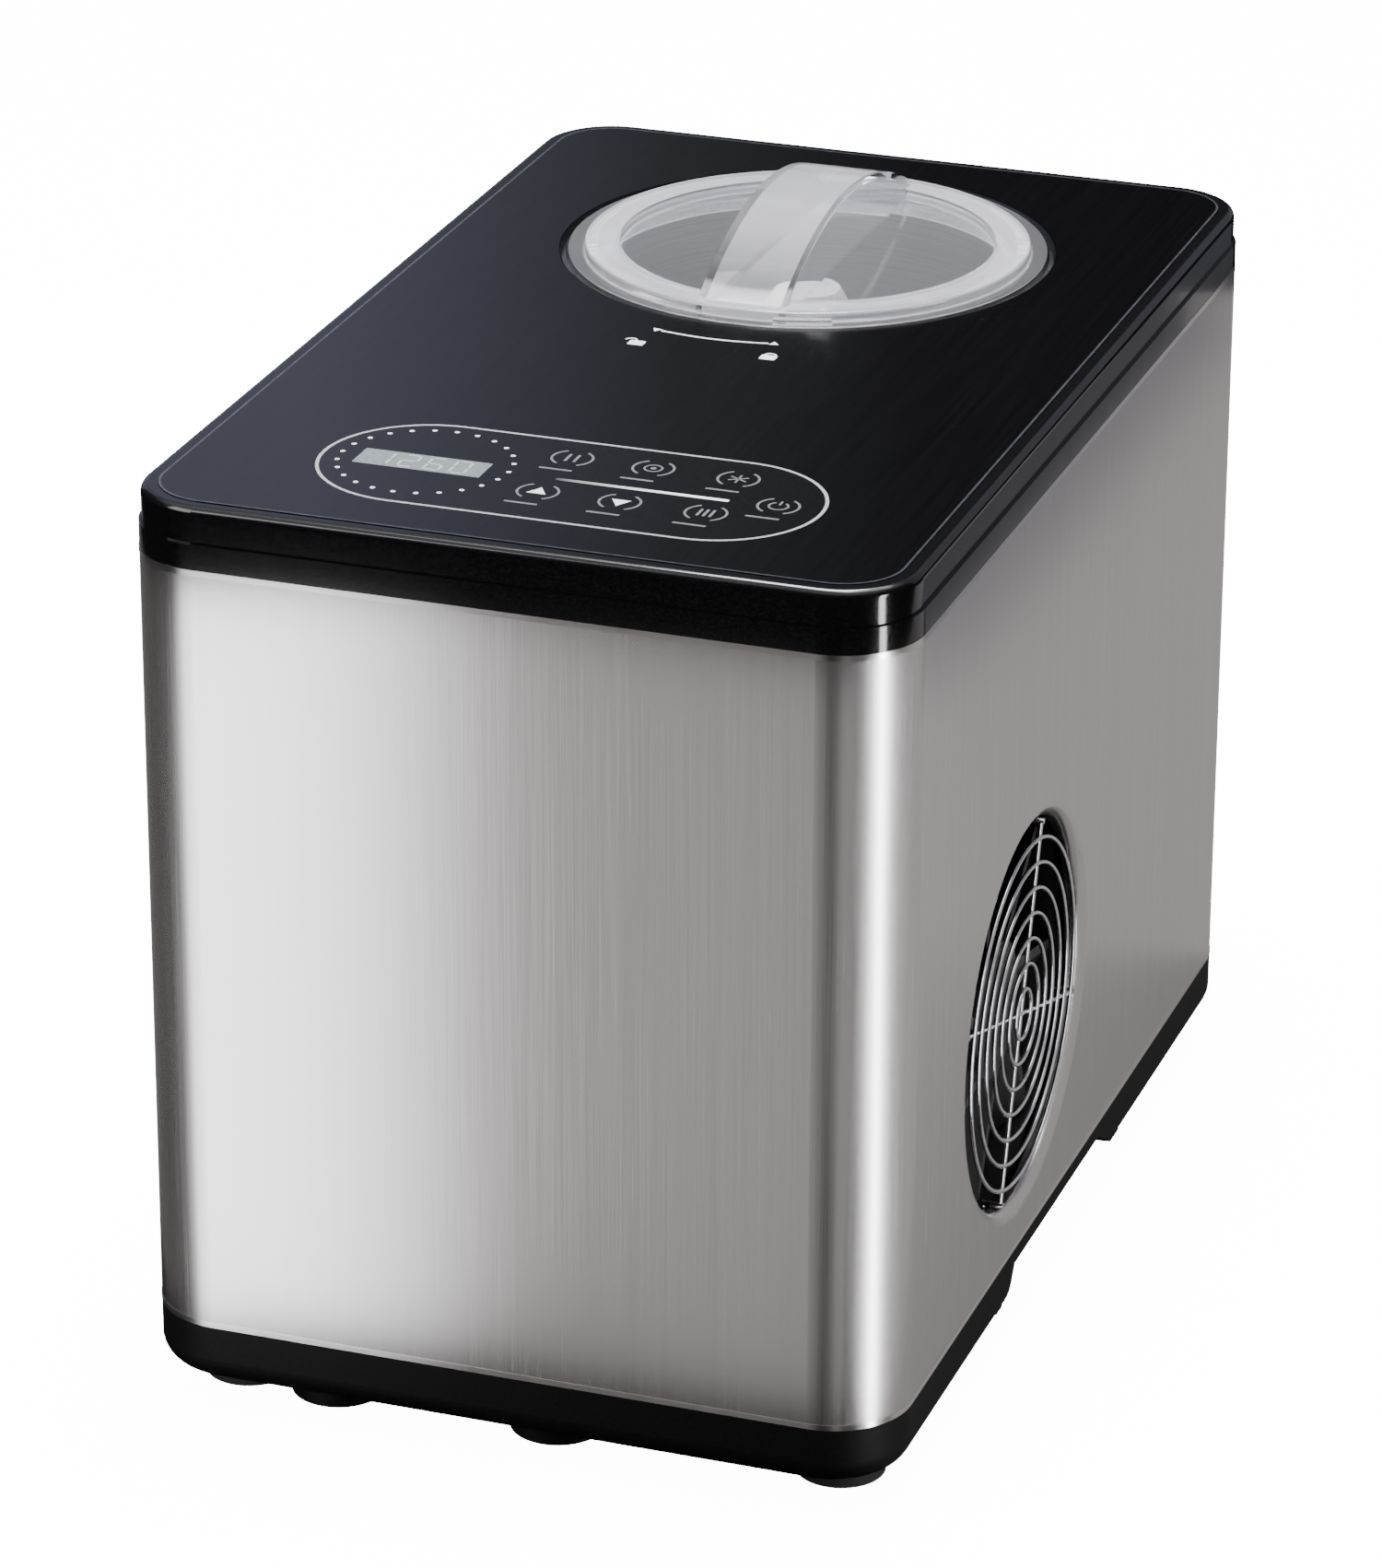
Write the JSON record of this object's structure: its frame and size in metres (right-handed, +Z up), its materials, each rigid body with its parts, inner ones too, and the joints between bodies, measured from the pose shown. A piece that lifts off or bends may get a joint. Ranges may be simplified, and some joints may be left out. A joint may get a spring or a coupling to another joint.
{
  "type": "ice cream maker",
  "caption": "Countertop ice cream maker: brushed steel body, black touch panel, round clear lid over a lift-out bowl with a paddle, and a fan grille in the side.",
  "frame": {"origin": "on the floor under the middle of the body", "axes": "+X to the user's right, -Y to the front, +Z up; +Y is the longest extent"},
  "size_m": [0.225, 0.361, 0.297],
  "materials": {
    "brushed_steel": "vertical brushed, satin",
    "gloss_black": "high gloss moulded",
    "panel_gloss": "high gloss sheet",
    "matte_black": "fine moulded texture",
    "rubber_black": "moulded",
    "clear_plastic": "clear moulded",
    "display_grey": "lens",
    "painted_black": "powder coat",
    "zinc_steel": "zinc plated",
    "chrome_wire": "polished wire",
    "aluminium": "spun, satin",
    "copper": "drawn tube",
    "bronze": "sintered",
    "white_plastic": "moulded",
    "nylon": "moulded",
    "foam": "moulded foam",
    "circuit_green": "solder mask",
    "component_dark": "moulded"
  },
  "bodies": {
    "housing": {"base_tray": "matte_black", "rubber_feet": "rubber_black", "steel_shell": "brushed_steel", "rear_panel": "painted_black", "rear_panel_screws": "zinc_steel", "cord_gland": "matte_black", "top_cap": "gloss_black", "top_panel": "panel_gloss", "display_window": "display_grey", "display_module": "component_dark", "control_board": "circuit_green", "board_screws": "zinc_steel", "touch_springs": "zinc_steel", "lid_seat": "gloss_black", "evaporator_well": "aluminium", "evaporator_coil": "copper", "foam_jacket": "foam", "drive_bridge": "zinc_steel", "bridge_screws": "zinc_steel", "gearbox_base": "matte_black", "gearbox_cover": "matte_black", "idler_pin": "zinc_steel", "lower_bearing": "bronze", "cover_bearing": "bronze", "motor_can": "zinc_steel", "motor_stator": "component_dark", "upper_bearing": "bronze", "shaft_seal": "rubber_black", "gearbox_screws": "zinc_steel", "compressor_body": "painted_black", "compressor_plate": "painted_black", "compressor_grommets": "rubber_black", "compressor_bolts": "zinc_steel", "compressor_relay": "matte_black", "fan_guard": "chrome_wire", "fan_frame": "matte_black", "fan_shroud": "matte_black", "fan_screws": "zinc_steel", "condenser_coil": "copper", "condenser_fins": "aluminium", "condenser_ends": "zinc_steel", "discharge_pipe": "copper", "liquid_pipe": "copper", "filter_drier": "copper", "capillary_tube": "copper", "suction_pipe": "copper", "power_board": "circuit_green", "board_standoffs": "white_plastic"},
    "seal": {"lid_gasket": "white_plastic"},
    "lid": {"lid": "clear_plastic"},
    "bowl": {"bowl": "aluminium"},
    "paddle": {"paddle": "white_plastic"},
    "drive": {"drive_shaft": "zinc_steel", "output_gear": "nylon"},
    "idler": {"idler_gear": "nylon"},
    "motor": {"motor_rotor": "zinc_steel", "motor_pinion": "bronze"},
    "fan": {"fan_rotor": "matte_black"}
  },
  "joints": [
    {"name": "lid_lift", "type": "slide", "parent": "housing", "child": "seal", "axis": [0, 0, 1], "range_m": [0, 0.32]},
    {"name": "lid_turn", "type": "hinge", "parent": "seal", "child": "lid", "pos_m": [0, 0.083, 0.277], "axis": [0, 0, 1], "range_deg": [-30, 0]},
    {"name": "bowl_lift", "type": "slide", "parent": "housing", "child": "bowl", "axis": [0, 0, 1], "range_m": [0, 0.16]},
    {"name": "shaft_spin", "type": "hinge", "parent": "housing", "child": "drive", "pos_m": [0, 0.083, 0.1], "axis": [0, 0, 1], "continuous": true},
    {"name": "paddle_spin", "type": "hinge", "parent": "bowl", "child": "paddle", "pos_m": [0, 0.083, 0.2], "axis": [0, 0, 1], "continuous": true},
    {"name": "idler_spin", "type": "hinge", "parent": "housing", "child": "idler", "pos_m": [-0.042, 0.083, 0.1], "axis": [0, 0, 1], "continuous": true},
    {"name": "motor_spin", "type": "hinge", "parent": "housing", "child": "motor", "pos_m": [-0.021, 0.11937, 0.06], "axis": [0, 0, 1], "continuous": true},
    {"name": "fan_spin", "type": "hinge", "parent": "housing", "child": "fan", "pos_m": [0.09, -0.0497, 0.0994], "axis": [1, 0, 0], "continuous": true}
  ],
  "couplings": [
    {"joint": "bowl_lift", "follows": "lid_lift", "ratio": 0.5},
    {"joint": "paddle_spin", "follows": "shaft_spin", "ratio": 1},
    {"joint": "idler_spin", "follows": "shaft_spin", "ratio": -5},
    {"joint": "motor_spin", "follows": "shaft_spin", "ratio": 30}
  ]
}
